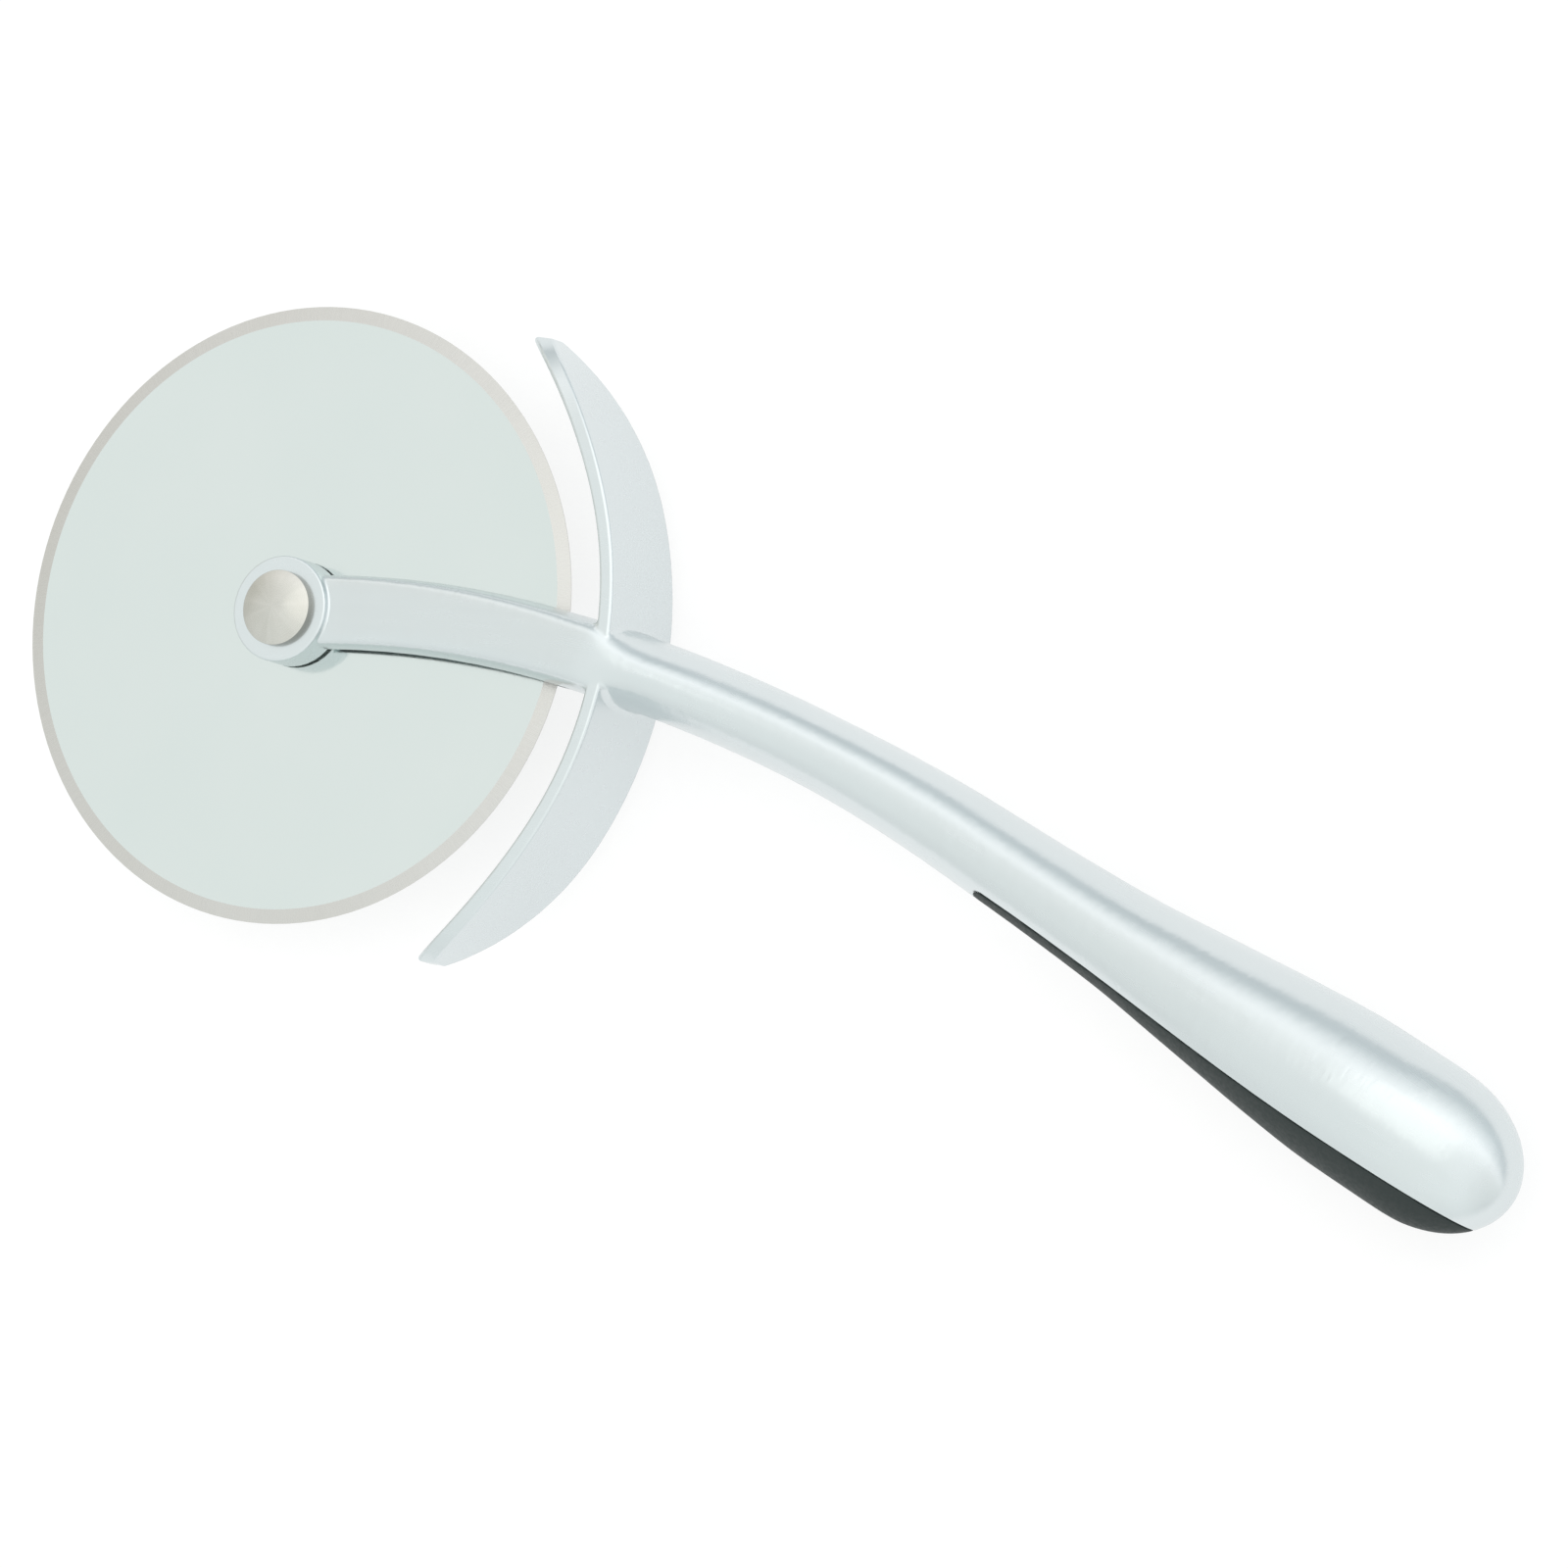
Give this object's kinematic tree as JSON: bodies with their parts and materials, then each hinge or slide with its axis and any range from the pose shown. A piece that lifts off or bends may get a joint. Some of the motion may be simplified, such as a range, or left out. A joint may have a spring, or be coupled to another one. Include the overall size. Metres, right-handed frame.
{
  "type": "pizza cutter wheel",
  "caption": "Pizza cutter with a free-spinning bevelled steel wheel in a fork, a curved hand guard and a slim swelling metal handle with a black soft pad in its underside.",
  "frame": {"origin": "middle of the footprint of the cutter lying on its side, on the surface it lies on", "axes": "+X from the wheel towards the end of the handle, +Y towards the palm side of the handle, away from the soft pad, +Z along the wheel's axle"},
  "size_m": [0.2634, 0.0986, 0.0224],
  "materials": {
    "satin_chrome": "satin chrome plate on a zinc casting",
    "blade_steel": "polished flat faces with a ground bevel",
    "rivet_steel": "turned and polished stainless steel",
    "bearing_plastic": "natural acetal",
    "carrier_plastic": "moulded black plastic",
    "soft_pad": "matt soft black rubber"
  },
  "bodies": {
    "frame": {"handle_casting": "satin_chrome", "near_washer": "bearing_plastic", "far_washer": "bearing_plastic", "axle_barrel": "rivet_steel", "axle_post": "rivet_steel", "grip_carrier": "carrier_plastic", "grip_skin": "soft_pad"},
    "wheel": {"blade": "blade_steel", "blade_bush": "bearing_plastic"}
  },
  "joints": [
    {"name": "wheel_spin", "type": "hinge", "parent": "frame", "child": "wheel", "pos_m": [-0.0867, -0.00427, 0.0112], "axis": [0, 0, 1], "continuous": true}
  ]
}
